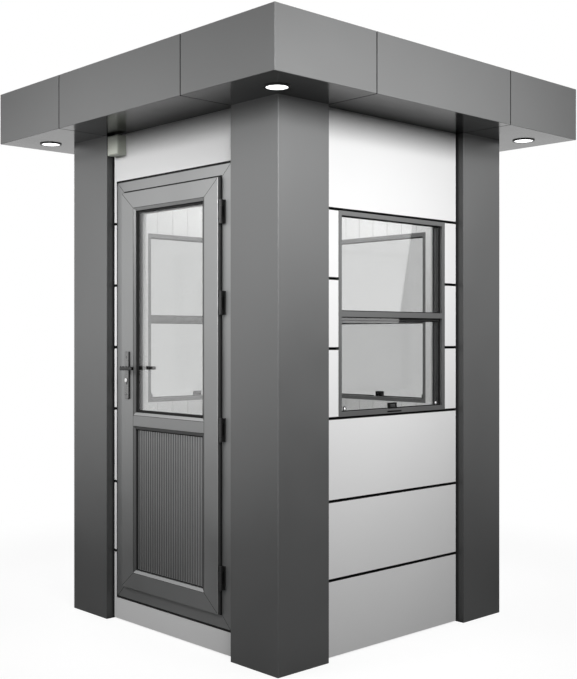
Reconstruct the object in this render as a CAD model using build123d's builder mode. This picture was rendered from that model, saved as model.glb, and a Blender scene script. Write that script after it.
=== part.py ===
from build123d import *
import os

# Composite guard cabin, modelled from ground level up
# Millimetres, +Z up, the door in the -Y wall, the origin on the ground at the centre of the plan

# Plan of the body
body_half = 750.0            # centre of the plan to the outer face of a corner column
column_width = 292.0         # one outer face of a corner column
column_proud = 37.0          # how far a column stands out from the white cladding
cladding_thickness = 18.0
core_thickness = 32.0
lining_thickness = 8.0
side_gap = 12.0              # dark gap between the cladding and a column
infill_gap = 1.0             # fitting gap between hidden infill pieces

# Heights
soffit_height = 2330.0
fascia_height = 250.0
floor_height = 100.0
floor_thickness = 20.0
course_joints = (330.0, 664.0, 1015.0, 1311.0, 1608.0, 1904.0)
joint_width = 8.0
ground_gap = 6.0             # open joint under the lowest course of cladding

# Canopy
eaves_overhang = 265.0
sheet_thickness = 4.0        # folded panel of the canopy
canopy_joint = 6.0
parapet_cap = 60.0           # width of the folded cap on top of the fascia
parapet_height = 40.0        # fascia above the roof sheet
roof_fall = 24.0             # rise of the roof sheet to its middle
fold_radius = 3.0
downlight_inset = 182.0      # centre of a downlight from the outer edges of the canopy
downlight_radius = 44.0
downlight_rim = 10.0
downlight_drop = 4.0

# Windows
window_margin = 97.0         # edge of a column to the side of the window frame
window_face = 19.0
window_sill_face = 20.0
window_sight_depth = 15.0    # glass behind the outer face of the frame
window_rail_bottom = 1447.0
window_rail_height = 24.0
window_lip_height = 13.0     # part of the middle rail that reaches lower, behind the glass
window_lip_depth = 22.0
pane_thickness = 6.0
pane_grip = 4.0              # how deep a pane sits in its groove
seating_gap = 0.3
track_width = 8.0
track_depth = 4.0
frame_joint = 2.0            # open joint between a frame and the cladding beside it
window_seal_width = 4.0
window_seal_depth = 3.0

# Window fittings
latch_width = 65.0
latch_height = 27.0
latch_depth = 12.0
drain_width = 96.0
drain_height = 4.0
drain_depth = 2.0

# Door frame
door_margin = 35.0           # edge of a column to the side of the door frame
door_foot = 111.0            # ground to the underside of the door frame
door_head = 227.0            # top of the door frame to the soffit
door_frame_section = 78.0    # outer edge to the rebate
door_stop_width = 14.0

# Door leaf
leaf_side_inset = 66.0       # frame face that shows beside the leaf
leaf_bottom_inset = 64.0
leaf_top_inset = 60.0
leaf_proud = 21.0            # leaf face in front of the frame face
leaf_depth = 55.0
running_clearance = 5.0      # leaf to frame, seen across the flange and the stop
rebate_clearance = 8.0       # leaf to frame, round the body of the leaf
leaf_edge = 1.5              # chamfer round the face of the leaf
stile_width = 94.0
rail_width = 77.0
mid_rail_bottom = 942.0
mid_rail_height = 50.0
bead_width = 14.0
bead_slope = 6.0
glass_set_back = 16.0        # glass behind the leaf face
glass_unit = 20.0            # whole thickness of the double glazing
door_pane_thickness = 4.0
spacer_show = 10.0           # width of the black spacer that shows inside the beads
inner_lip = 24.0
rib_pitch = 17.2
rib_groove_width = 11.0
rib_groove_depth = 3.0
rib_border = 6.0

# Hinges
hinge_axis_beside = 14.0     # hinge axis beside the edge of the leaf
hinge_axis_back = 17.0       # hinge axis in front of the frame face
hinge_radius = 7.5
hinge_height = 102.0
hinge_bottom_inset = 157.0   # middle of the lowest hinge above the foot of the leaf
hinge_top_inset = 148.0
hinge_middles = (963.0, 1506.0)
hinge_plate_thickness = 4.0
hinge_frame_plate = 22.0
hinge_pin_radius = 3.5
pin_clearance = 0.1
knuckle_gap = 0.5

# Handle and lock
handle_inset = 51.0          # spindle from the edge of the leaf
handle_height = 1213.0
plate_width = 31.0
plate_below = 146.0          # spindle to the lower end of the plate
plate_height = 224.0
plate_edge = 1.5
plate_thickness = 8.5
neck_radius = 9.0
neck_clearance = 0.4
lever_stand_off = 36.0       # centre of the lever in front of the leaf
lever_length = 100.0
lever_thickness = 13.0
lever_height = 20.0
lever_tip_height = 15.0
lever_edge = 2.5
spindle_size = 8.0
spindle_bore = 8.0
cylinder_below = 56.0        # spindle to the lock cylinder
cylinder_radius = 8.5
cylinder_tail_width = 10.0
cylinder_tail = 20.0
cylinder_stand_out = 2.5

# Small box under the soffit
sensor_width = 88.0
sensor_height = 94.0
sensor_depth = 46.0
sensor_margin = 19.0         # edge of the left column to the box
sensor_drop = 8.0            # top of the box below the soffit
sensor_corner = 4.0
sensor_edge = 2.0

# Base
joist_width = 60.0
joist_wall = 4.0
joist_margin = 143.0         # wall to the middle of the outer joists
joist_count = 5

# Sizes that follow
cladding_face = body_half - column_proud
core_face = cladding_face - cladding_thickness
core_back = core_face - core_thickness
room_half = core_back - lining_thickness
column_edge = body_half - column_width
cladding_half = column_edge - side_gap
canopy_half = body_half + eaves_overhang
canopy_top = soffit_height + fascia_height
ceiling_underside = soffit_height - lining_thickness
window_bottom = course_joints[2] + joint_width / 2
window_top = course_joints[5] - joint_width / 2
window_depth = cladding_face - room_half
window_glass_face = cladding_face - window_sight_depth
window_half_width = column_edge - window_margin
window_opening = (window_half_width, window_bottom, window_top)
door_frame_half = column_edge - door_margin
door_frame_bottom = door_foot
door_frame_top = soffit_height - door_head
door_opening = (door_frame_half, door_frame_bottom, door_frame_top)
leaf_half = door_frame_half - leaf_side_inset
leaf_bottom = door_frame_bottom + leaf_bottom_inset
leaf_top = door_frame_top - leaf_top_inset
leaf_face = cladding_face + leaf_proud
leaf_back = leaf_face - leaf_depth
glass_face = leaf_face - glass_set_back
glass_back = glass_face - glass_unit
aperture_half = leaf_half - stile_width
downlight_place = canopy_half - downlight_inset
turns = {"front": 0.0, "right": 90.0, "back": 180.0, "left": 270.0}

os.makedirs("parts", exist_ok=True)


# Helpers
def wall_plane(turn, distance):
    # Upright plane at a distance from the centre, facing outwards, with its local y upwards
    outwards = Vector(0, -1, 0).rotate(Axis.Z, turn)
    along = Vector(1, 0, 0).rotate(Axis.Z, turn)
    return Plane(origin=outwards * distance, x_dir=along, z_dir=outwards)


def upright(half_width, bottom, top, mode=Mode.ADD):
    # Rectangle in an elevation, centred on the wall
    with Locations((0, (bottom + top) / 2)):
        Rectangle(2 * half_width, top - bottom, mode=mode)


def strip(left, right, bottom, top, mode=Mode.ADD):
    # Rectangle in an elevation, between two places along the wall
    with Locations(((left + right) / 2, (bottom + top) / 2)):
        Rectangle(right - left, top - bottom, mode=mode)


def save(builder, name):
    builder.part.label = name
    export_step(builder.part, "parts/" + name + ".step")


# Base: steel joists under a floor deck
with BuildPart() as base_joists:
    joist_height = floor_height - floor_thickness
    joist_pitch = 2 * (core_back - joist_margin) / (joist_count - 1)
    with BuildSketch(Plane.XZ.offset(core_back)):
        with Locations((0, joist_height / 2)):
            with GridLocations(joist_pitch, 1, joist_count, 1):
                Rectangle(joist_width, joist_height)
                Rectangle(joist_width - 2 * joist_wall, joist_height - 2 * joist_wall, mode=Mode.SUBTRACT)
    extrude(amount=-2 * core_back)
save(base_joists, "base_joists")

with BuildPart() as floor_deck:
    with BuildSketch(Plane.XY.offset(floor_height - floor_thickness)):
        Rectangle(2 * core_back, 2 * core_back)
    extrude(amount=floor_thickness)
save(floor_deck, "floor_deck")

# Corner columns: an L in plan with folded outer edges, from the ground to the soffit
corner_names = {"front_left": 0.0, "front_right": 90.0, "back_right": 180.0, "back_left": 270.0}
for corner, turn in corner_names.items():
    with BuildPart() as column:
        with BuildSketch(Plane.XY.rotated((0, 0, turn))):
            with BuildLine():
                Polyline(
                    (-body_half, -body_half),
                    (-column_edge, -body_half),
                    (-column_edge, -core_back),
                    (-core_back, -core_back),
                    (-core_back, -column_edge),
                    (-body_half, -column_edge),
                    close=True,
                )
            make_face()
            outer_corners = vertices().filter_by(lambda v: max(abs(v.X), abs(v.Y)) > body_half - fold_radius)
            fillet(outer_corners, fold_radius)
        extrude(amount=soffit_height)
    save(column, corner + "_column")

# Wall cores: hidden infill behind the cladding, in separate slabs round each opening
with BuildPart() as front_wall:
    with BuildSketch(wall_plane(0, core_face)):
        strip(-column_edge, -door_frame_half - infill_gap, 0, soffit_height)
        strip(door_frame_half + infill_gap, column_edge, 0, soffit_height)
        upright(door_frame_half, door_frame_top, soffit_height)
        upright(door_frame_half, 0, door_frame_bottom)
    extrude(amount=-core_thickness)
save(front_wall, "front_wall")

for side in ("right", "back", "left"):
    with BuildPart() as wall:
        with BuildSketch(wall_plane(turns[side], core_face)):
            upright(column_edge, 0, window_bottom)
            upright(column_edge, window_top, soffit_height)
            for left, right in ((-column_edge, -window_half_width), (window_half_width, column_edge)):
                strip(left, right, window_bottom + infill_gap, window_top - infill_gap)
        extrude(amount=-core_thickness)
    save(wall, side + "_wall")

# White cladding: flat panels in courses with open dark joints
course_bottoms = [ground_gap] + [joint + joint_width / 2 for joint in course_joints]
course_tops = [joint - joint_width / 2 for joint in course_joints] + [soffit_height]
for side, turn in turns.items():
    half_width, opening_bottom, opening_top = door_opening if side == "front" else window_opening
    opening_bottom -= frame_joint
    opening_top += frame_joint
    with BuildPart() as cladding:
        with BuildSketch(wall_plane(turn, core_face)):
            for bottom, top in zip(course_bottoms, course_tops):
                upright(cladding_half, bottom, top)
            upright(half_width + frame_joint, opening_bottom, opening_top, mode=Mode.SUBTRACT)
        extrude(amount=cladding_thickness)
    save(cladding, side + "_cladding")

# Inner lining and ceiling
with BuildPart() as wall_lining:
    for side, turn in turns.items():
        opening = door_opening if side == "front" else window_opening
        lining_half = room_half - infill_gap if side in ("front", "back") else core_back
        with BuildSketch(wall_plane(turn, room_half)):
            upright(lining_half, floor_height, ceiling_underside)
            upright(*opening, mode=Mode.SUBTRACT)
        extrude(amount=lining_thickness)
save(wall_lining, "wall_lining")

with BuildPart() as ceiling:
    with BuildSketch(Plane.XY.offset(ceiling_underside)):
        Rectangle(2 * core_back - 2 * infill_gap, 2 * core_back - 2 * infill_gap)
    extrude(amount=lining_thickness + sheet_thickness)
save(ceiling, "ceiling")

# Canopy: folded cassettes round a hidden core
cassette_inner = canopy_half - sheet_thickness
corner_start = column_edge + canopy_joint / 2
middle_half = column_edge - canopy_joint / 2
cap_inner = canopy_half - parapet_cap


def on_outer_face(edge):
    # True for the outer edges of the canopy, seen in plan
    place = edge.center()
    return max(abs(place.X), abs(place.Y)) > canopy_half - fold_radius


with BuildPart() as roof_core:
    with BuildSketch(Plane.XY.offset(soffit_height + sheet_thickness)):
        Rectangle(2 * cassette_inner, 2 * cassette_inner)
    extrude(amount=fascia_height - parapet_height - sheet_thickness)
save(roof_core, "roof_core")

# The roof sheet falls both ways from a low ridge that runs from front to back
with BuildPart() as roof_sheet:
    sheet_base = canopy_top - parapet_height
    with BuildSketch(Plane.XZ.offset(cassette_inner)):
        Polygon(
            (-cassette_inner, sheet_base),
            (cassette_inner, sheet_base),
            (cassette_inner, sheet_base + sheet_thickness),
            (0, sheet_base + roof_fall),
            (-cassette_inner, sheet_base + sheet_thickness),
            align=None,
        )
    extrude(amount=-2 * cassette_inner)
save(roof_sheet, "roof_sheet")

with BuildPart() as canopy_corners:
    for turn in corner_names.values():
        centre = -(corner_start + canopy_half) / 2
        width = canopy_half - corner_start
        with BuildSketch(Plane.XY.offset(soffit_height).rotated((0, 0, turn))):
            with Locations((centre, centre)):
                Rectangle(width, width)
        extrude(amount=fascia_height)
    outer_folds = edges().filter_by(Axis.Z).group_by(lambda e: abs(e.center().X) + abs(e.center().Y))[-1]
    fillet(outer_folds, fold_radius)
    rims = faces().filter_by(Axis.Z).edges().filter_by(on_outer_face)
    chamfer(rims, fold_radius / 2)
    with BuildSketch(Plane.XY.offset(soffit_height + sheet_thickness)):
        Rectangle(2 * cassette_inner, 2 * cassette_inner)
    extrude(amount=fascia_height - 2 * sheet_thickness, mode=Mode.SUBTRACT)
    with BuildSketch(Plane.XY.offset(canopy_top - sheet_thickness)):
        Rectangle(2 * cap_inner, 2 * cap_inner)
    extrude(amount=sheet_thickness, mode=Mode.SUBTRACT)
    with BuildSketch(Plane.XY.offset(soffit_height)):
        Rectangle(2 * core_back, 2 * core_back)
        with GridLocations(2 * downlight_place, 2 * downlight_place, 2, 2):
            Circle(downlight_radius + downlight_rim)
    extrude(amount=sheet_thickness, mode=Mode.SUBTRACT)
save(canopy_corners, "canopy_corners")

with BuildPart() as canopy_sides:
    for turn in turns.values():
        centre = -(core_back + canopy_half) / 2
        with BuildSketch(Plane.XY.offset(soffit_height).rotated((0, 0, turn))):
            with Locations((0, centre)):
                Rectangle(2 * middle_half, canopy_half - core_back)
        extrude(amount=fascia_height)
    rims = faces().filter_by(Axis.Z).edges().filter_by(on_outer_face)
    chamfer(rims, fold_radius / 2)
    with BuildSketch(Plane.XY.offset(soffit_height + sheet_thickness)):
        Rectangle(2 * cassette_inner, 2 * cassette_inner)
    extrude(amount=fascia_height - 2 * sheet_thickness, mode=Mode.SUBTRACT)
    with BuildSketch(Plane.XY.offset(canopy_top - sheet_thickness)):
        Rectangle(2 * cap_inner, 2 * cap_inner)
    extrude(amount=sheet_thickness, mode=Mode.SUBTRACT)
save(canopy_sides, "canopy_sides")

# Downlights in the four corners of the soffit
with BuildPart() as downlight_rings:
    with BuildSketch(Plane.XY.offset(soffit_height - downlight_drop)):
        with GridLocations(2 * downlight_place, 2 * downlight_place, 2, 2):
            Circle(downlight_radius + downlight_rim)
            Circle(downlight_radius, mode=Mode.SUBTRACT)
    extrude(amount=downlight_drop + sheet_thickness)
save(downlight_rings, "downlight_rings")

with BuildPart() as downlight_lenses:
    with BuildSketch(Plane.XY.offset(soffit_height - downlight_drop / 2)):
        with GridLocations(2 * downlight_place, 2 * downlight_place, 2, 2):
            Circle(downlight_radius)
    extrude(amount=downlight_drop / 2 + sheet_thickness)
save(downlight_lenses, "downlight_lenses")

# Small box on the front wall, under the soffit
with BuildPart() as sensor_box:
    sensor_top = soffit_height - sensor_drop
    sensor_left = sensor_margin - column_edge
    with BuildSketch(wall_plane(0, cladding_face)):
        strip(sensor_left, sensor_left + sensor_width, sensor_top - sensor_height, sensor_top)
    extrude(amount=sensor_depth)
    fillet(edges().filter_by(Axis.Y), sensor_corner)
    chamfer(faces().sort_by(Axis.Y)[0].edges(), sensor_edge)
save(sensor_box, "sensor_box")

# Windows: a frame with a middle rail, two fixed panes and small fittings
rail_top = window_rail_bottom + window_rail_height
lip_bottom = window_rail_bottom - window_lip_height
sight_half = window_half_width - window_face
sight_bottom = window_bottom + window_sill_face
sight_top = window_top - window_face
groove_face = window_glass_face + seating_gap
groove_width = pane_thickness + 2 * seating_gap
groove_back = groove_face - groove_width
for side in ("right", "back", "left"):
    turn = turns[side]
    with BuildPart() as window_frame:
        with BuildSketch(wall_plane(turn, cladding_face)):
            upright(*window_opening)
            upright(sight_half, sight_bottom, window_rail_bottom, mode=Mode.SUBTRACT)
            upright(sight_half, rail_top, sight_top, mode=Mode.SUBTRACT)
        extrude(amount=-window_depth)
        with BuildSketch(wall_plane(turn, groove_face)):
            upright(sight_half + pane_grip, sight_bottom - pane_grip, window_rail_bottom + pane_grip)
            upright(sight_half + pane_grip, rail_top - pane_grip, sight_top + pane_grip)
        extrude(amount=-groove_width, mode=Mode.SUBTRACT)
        for track in (0, 1):
            with BuildSketch(wall_plane(turn, groove_back - track_width * (2 * track + 1))):
                upright(sight_half + track_depth, sight_bottom, window_rail_bottom)
                upright(sight_half + track_depth, rail_top, sight_top)
            extrude(amount=-track_width, mode=Mode.SUBTRACT)
        with BuildSketch(wall_plane(turn, groove_back)):
            upright(sight_half, lip_bottom, window_rail_bottom)
        extrude(amount=-window_lip_depth)
    save(window_frame, side + "_window_frame")

    with BuildPart() as window_glass:
        reach = pane_grip - seating_gap
        with BuildSketch(wall_plane(turn, window_glass_face)):
            upright(sight_half + reach, sight_bottom - reach, window_rail_bottom + reach)
            upright(sight_half + reach, rail_top - reach, sight_top + reach)
        extrude(amount=-pane_thickness)
    save(window_glass, side + "_window_glass")

# Black seals round the panes, outside and inside
with BuildPart() as window_seals:
    for side in ("right", "back", "left"):
        turn = turns[side]
        pane_back = window_glass_face - pane_thickness
        for face, seal_depth, lower_top in (
            (window_glass_face, window_seal_depth, window_rail_bottom),
            (pane_back, -window_seal_depth, lip_bottom),
        ):
            with BuildSketch(wall_plane(turn, face)):
                for bottom, top in ((sight_bottom, lower_top), (rail_top, sight_top)):
                    upright(sight_half, bottom, top)
                    upright(
                        sight_half - window_seal_width,
                        bottom + window_seal_width,
                        top - window_seal_width,
                        mode=Mode.SUBTRACT,
                    )
                upright(latch_width / 2, sight_bottom, sight_bottom + latch_height, mode=Mode.SUBTRACT)
            extrude(amount=seal_depth)
save(window_seals, "window_seals")

with BuildPart() as window_latches:
    for side in ("right", "back", "left"):
        turn = turns[side]
        with BuildSketch(wall_plane(turn, window_glass_face)):
            upright(latch_width / 2, sight_bottom, sight_bottom + latch_height)
        extrude(amount=latch_depth)
        drain_bottom = window_bottom + window_sill_face / 3
        with BuildSketch(wall_plane(turn, cladding_face)):
            upright(drain_width / 2, drain_bottom, drain_bottom + drain_height)
        extrude(amount=drain_depth)
save(window_latches, "window_latches")

# Door frame: four mitred members with a rebate and a stop
rebate_half = door_frame_half - door_frame_section
rebate_bottom = door_frame_bottom + door_frame_section
rebate_top = door_frame_top - door_frame_section
stop_half = rebate_half - door_stop_width
stop_bottom = rebate_bottom + door_stop_width
stop_top = rebate_top - door_stop_width
door_stop_depth = leaf_back - running_clearance - room_half
frame_depth = cladding_face - room_half


def door_frame_ring():
    # The whole frame before it is divided at the mitres
    with BuildPart() as ring:
        with BuildSketch(wall_plane(0, cladding_face)):
            upright(*door_opening)
            upright(rebate_half, rebate_bottom, rebate_top, mode=Mode.SUBTRACT)
        extrude(amount=-(frame_depth - door_stop_depth))
        with BuildSketch(wall_plane(0, room_half)):
            upright(*door_opening)
            upright(stop_half, stop_bottom, stop_top, mode=Mode.SUBTRACT)
        extrude(amount=door_stop_depth)
    return ring.part


def mitre_shapes(half, bottom, top, inset_x, inset_z, upright_members):
    # Shapes that divide a rectangle along its mitres, each through a point inset from a corner
    lower_meet = (0, bottom + half / inset_x * inset_z)
    upper_meet = (0, top - half / inset_x * inset_z)
    if upright_members:
        for side in (-1, 1):
            Polygon((side * half, bottom), lower_meet, upper_meet, (side * half, top), align=None)
    else:
        Polygon((-half, bottom), (half, bottom), lower_meet, align=None)
        Polygon((-half, top), (half, top), upper_meet, align=None)


with BuildPart() as door_frame_jambs:
    add(door_frame_ring())
    with BuildSketch(wall_plane(0, cladding_face)):
        mitre_shapes(*door_opening, door_frame_section, door_frame_section, True)
    extrude(amount=-frame_depth, mode=Mode.INTERSECT)
save(door_frame_jambs, "door_frame_jambs")

with BuildPart() as door_frame_rails:
    add(door_frame_ring())
    with BuildSketch(wall_plane(0, cladding_face)):
        mitre_shapes(*door_opening, door_frame_section, door_frame_section, False)
    extrude(amount=-frame_depth, mode=Mode.INTERSECT)
save(door_frame_rails, "door_frame_rails")

# Door leaf: mitred stiles and rails with a flange that laps the frame
flange_back = cladding_face + running_clearance
body_half_width = rebate_half - rebate_clearance
body_bottom = rebate_bottom + rebate_clearance
body_top = rebate_top - rebate_clearance
mid_rail_top = mid_rail_bottom + mid_rail_height
lower_bottom = leaf_bottom + rail_width
upper_top = leaf_top - rail_width
lights = {"lower": (lower_bottom, mid_rail_bottom), "upper": (mid_rail_top, upper_top)}
handle_x = handle_inset - leaf_half
cylinder_height = handle_height - cylinder_below
tail_slot_width = cylinder_tail_width + 2 * seating_gap
tail_slot_height = cylinder_tail + 2 * seating_gap


def leaf_ring():
    # The outer frame of the leaf before it is divided at the mitres
    with BuildPart() as ring:
        with BuildSketch(wall_plane(0, leaf_face)):
            upright(leaf_half, leaf_bottom, leaf_top)
        extrude(amount=-(leaf_face - flange_back))
        chamfer(faces().sort_by(Axis.Y)[0].edges(), leaf_edge)
        with BuildSketch(wall_plane(0, flange_back)):
            upright(body_half_width, body_bottom, body_top)
        extrude(amount=-(flange_back - leaf_back))
        with BuildSketch(wall_plane(0, leaf_face)):
            upright(aperture_half, lower_bottom, upper_top)
        extrude(amount=-(leaf_face - glass_back), mode=Mode.SUBTRACT)
        with BuildSketch(wall_plane(0, glass_back)):
            upright(aperture_half - inner_lip, lower_bottom + inner_lip, upper_top - inner_lip)
        extrude(amount=-(glass_back - leaf_back), mode=Mode.SUBTRACT)
    return ring.part


with BuildPart() as door_stiles:
    add(leaf_ring())
    with BuildSketch(wall_plane(0, leaf_face)):
        mitre_shapes(leaf_half, leaf_bottom, leaf_top, stile_width, rail_width, True)
    extrude(amount=-leaf_depth, mode=Mode.INTERSECT)
    with BuildSketch(wall_plane(0, leaf_face)):
        with Locations((handle_x, handle_height)):
            Circle(spindle_bore)
        with Locations((handle_x, cylinder_height)):
            Circle(cylinder_radius + seating_gap)
        with Locations((handle_x, cylinder_height - cylinder_tail / 2)):
            Rectangle(tail_slot_width, tail_slot_height)
    extrude(amount=-leaf_depth, mode=Mode.SUBTRACT)
save(door_stiles, "door_stiles")

with BuildPart() as door_rails:
    add(leaf_ring())
    with BuildSketch(wall_plane(0, leaf_face)):
        mitre_shapes(leaf_half, leaf_bottom, leaf_top, stile_width, rail_width, False)
    extrude(amount=-leaf_depth, mode=Mode.INTERSECT)
    with BuildSketch(wall_plane(0, leaf_face)):
        upright(aperture_half, mid_rail_bottom, mid_rail_top)
    extrude(amount=-(leaf_face - glass_back))
    with BuildSketch(wall_plane(0, glass_back)):
        upright(aperture_half - inner_lip, mid_rail_bottom - inner_lip, mid_rail_top + inner_lip)
    extrude(amount=-(glass_back - leaf_back))
save(door_rails, "door_rails")

# Beads: sloping strips that hold the glass and the panel from the outside
with BuildPart() as door_beads:
    for bottom, top in lights.values():
        with BuildSketch(wall_plane(0, leaf_face)):
            upright(aperture_half, bottom, top)
            upright(aperture_half - bead_width, bottom + bead_width, top - bead_width, mode=Mode.SUBTRACT)
        extrude(amount=-glass_set_back)
        with BuildSketch(wall_plane(0, leaf_face)):
            upright(aperture_half, bottom, top)
        with BuildSketch(wall_plane(0, leaf_face - bead_slope)):
            upright(aperture_half - bead_width, bottom + bead_width, top - bead_width)
        loft(mode=Mode.SUBTRACT)
save(door_beads, "door_beads")

# Double glazing: two panes on a black spacer
with BuildPart() as door_glass:
    bottom, top = lights["upper"]
    with BuildSketch(wall_plane(0, glass_face), wall_plane(0, glass_back + door_pane_thickness)):
        upright(aperture_half - seating_gap, bottom + seating_gap, top - seating_gap)
    extrude(amount=-door_pane_thickness)
save(door_glass, "door_glass")

with BuildPart() as glass_spacer:
    bottom, top = lights["upper"]
    rim = bead_width + spacer_show
    with BuildSketch(wall_plane(0, glass_face - door_pane_thickness)):
        upright(aperture_half - seating_gap, bottom + seating_gap, top - seating_gap)
        upright(aperture_half - rim, bottom + rim, top - rim, mode=Mode.SUBTRACT)
    extrude(amount=-(glass_unit - 2 * door_pane_thickness))
save(glass_spacer, "glass_spacer")

# Lower panel with upright flutes
with BuildPart() as door_panel:
    bottom, top = lights["lower"]
    panel_half = aperture_half - seating_gap
    fluted_half = aperture_half - bead_width - rib_border
    rib_count = int(2 * fluted_half / rib_pitch)
    flute_radius = (rib_groove_width**2 / 4 + rib_groove_depth**2) / (2 * rib_groove_depth)
    with BuildSketch(wall_plane(0, glass_face)):
        upright(panel_half, bottom + seating_gap, top - seating_gap)
    extrude(amount=-glass_unit)
    with BuildSketch(Plane.XY.offset(bottom + bead_width + rib_border)):
        with Locations((0, -(glass_face + flute_radius - rib_groove_depth))):
            with GridLocations(rib_pitch, 1, rib_count, 1):
                Circle(flute_radius)
    extrude(amount=top - bottom - 2 * bead_width - 2 * rib_border, mode=Mode.SUBTRACT)
save(door_panel, "door_panel")

# Hinges: frame halves carry the pin and the end knuckles, leaf halves carry the middle knuckle
hinge_axis_x = leaf_half + hinge_axis_beside
hinge_axis_y = cladding_face + hinge_axis_back
hinge_centres = (leaf_bottom + hinge_bottom_inset, *hinge_middles, leaf_top - hinge_top_inset)
knuckle = hinge_height / 4
with BuildPart() as hinge_frame_halves:
    for centre in hinge_centres:
        base = centre - hinge_height / 2
        with BuildSketch(Plane.XY.offset(base)):
            with Locations((hinge_axis_x + hinge_plate_thickness / 2, -cladding_face)):
                Rectangle(hinge_frame_plate, hinge_plate_thickness, align=(Align.CENTER, Align.MAX))
        extrude(amount=hinge_height)
        for start in (base, base + 3 * knuckle):
            with BuildSketch(Plane.XY.offset(start)):
                with Locations((hinge_axis_x, -hinge_axis_y)):
                    Circle(hinge_radius)
                with Locations((hinge_axis_x, -cladding_face)):
                    Rectangle(hinge_radius, hinge_axis_back, align=(Align.CENTER, Align.MAX))
            extrude(amount=knuckle)
        with BuildSketch(Plane.XY.offset(base)):
            with Locations((hinge_axis_x, -hinge_axis_y)):
                Circle(hinge_pin_radius)
        extrude(amount=hinge_height)
save(hinge_frame_halves, "hinge_frame_halves")

with BuildPart() as hinge_leaf_halves:
    for centre in hinge_centres:
        start = centre - knuckle + knuckle_gap
        height = 2 * knuckle - 2 * knuckle_gap
        with BuildSketch(Plane.XY.offset(start)):
            with Locations((hinge_axis_x, -hinge_axis_y)):
                Circle(hinge_radius)
            with Locations((leaf_half, -hinge_axis_y)):
                Rectangle(hinge_axis_x - leaf_half, hinge_plate_thickness, align=(Align.MIN, Align.CENTER))
            with Locations((hinge_axis_x, -hinge_axis_y)):
                Circle(hinge_pin_radius + pin_clearance, mode=Mode.SUBTRACT)
        extrude(amount=height)
save(hinge_leaf_halves, "hinge_leaf_halves")

# Handle plates on both faces of the leaf, and the lock cylinder between them
with BuildPart() as handle_plates:
    for face, direction in ((leaf_face, 1), (leaf_back, -1)):
        with BuildSketch(wall_plane(0, face)):
            with Locations((handle_x, handle_height - plate_below + plate_height / 2)):
                RectangleRounded(plate_width, plate_height, plate_width / 6)
            with Locations((handle_x, handle_height)):
                Circle(neck_radius + neck_clearance, mode=Mode.SUBTRACT)
            with Locations((handle_x, cylinder_height)):
                Circle(cylinder_radius + seating_gap, mode=Mode.SUBTRACT)
            with Locations((handle_x, cylinder_height - cylinder_tail / 2)):
                Rectangle(tail_slot_width, tail_slot_height, mode=Mode.SUBTRACT)
        extrude(amount=direction * plate_thickness)
    for plate_face in (faces().sort_by(Axis.Y)[0], faces().sort_by(Axis.Y)[-1]):
        chamfer(plate_face.outer_wire().edges(), plate_edge)
save(handle_plates, "handle_plates")

with BuildPart() as lock_cylinder:
    cylinder_face = leaf_face + plate_thickness + cylinder_stand_out
    with BuildSketch(wall_plane(0, cylinder_face)):
        with Locations((handle_x, cylinder_height)):
            Circle(cylinder_radius)
        with Locations((handle_x, cylinder_height - cylinder_tail / 2)):
            Rectangle(cylinder_tail_width, cylinder_tail)
    extrude(amount=-(leaf_depth + 2 * plate_thickness + 2 * cylinder_stand_out))
save(lock_cylinder, "lock_cylinder")

# Levers: each has a neck through its plate and an arm that points to the hinges
for name, face, direction in (("outer_lever", leaf_face, 1), ("inner_lever", leaf_back, -1)):
    arm_middle = face + direction * lever_stand_off
    arm_start = handle_x - neck_radius
    arm_end = arm_start + lever_length
    with BuildPart() as lever:
        with BuildSketch(wall_plane(0, arm_middle - lever_thickness / 2)):
            Polygon(
                (arm_start, handle_height - lever_height / 2),
                (arm_end, handle_height - lever_tip_height / 2),
                (arm_end, handle_height + lever_tip_height / 2),
                (arm_start, handle_height + lever_height / 2),
                align=None,
            )
            fillet(vertices(), lever_tip_height / 4)
        extrude(amount=lever_thickness)
        arm_faces = faces().sort_by(Axis.Y)
        chamfer(arm_faces[0].edges() + arm_faces[-1].edges(), lever_edge)
        with BuildSketch(wall_plane(0, face)):
            with Locations((handle_x, handle_height)):
                Circle(neck_radius)
        extrude(amount=direction * (lever_stand_off - lever_thickness / 2))
    save(lever, name)

with BuildPart() as handle_spindle:
    with BuildSketch(wall_plane(0, leaf_face)):
        with Locations((handle_x, handle_height)):
            Rectangle(spindle_size, spindle_size)
    extrude(amount=-leaf_depth)
save(handle_spindle, "handle_spindle")
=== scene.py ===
import math
import bpy
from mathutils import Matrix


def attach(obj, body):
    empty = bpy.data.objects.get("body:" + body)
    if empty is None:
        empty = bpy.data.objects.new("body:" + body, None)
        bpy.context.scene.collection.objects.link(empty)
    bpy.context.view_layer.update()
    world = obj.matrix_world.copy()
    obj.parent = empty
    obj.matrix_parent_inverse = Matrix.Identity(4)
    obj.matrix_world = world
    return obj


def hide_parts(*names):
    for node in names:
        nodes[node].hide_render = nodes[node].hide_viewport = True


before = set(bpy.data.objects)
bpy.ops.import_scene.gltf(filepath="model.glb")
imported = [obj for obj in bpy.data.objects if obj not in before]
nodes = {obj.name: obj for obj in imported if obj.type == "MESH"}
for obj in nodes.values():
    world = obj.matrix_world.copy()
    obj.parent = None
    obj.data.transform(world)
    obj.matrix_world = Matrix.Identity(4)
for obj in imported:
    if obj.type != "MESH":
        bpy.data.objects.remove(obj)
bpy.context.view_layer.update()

scene = bpy.context.scene
scene.view_settings.view_transform = "Standard"
print("frame loaded with", len(nodes), "nodes")

# Camera: place in metres, turn in degrees
viewpoint = {"place": (3.8334, -3.6376, 1.3619), "turn": (90.0, 0.0, 47.385), "lens": 56.22, "shiftX": 0.02922,
             "shiftY": -0.00433}


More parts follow.
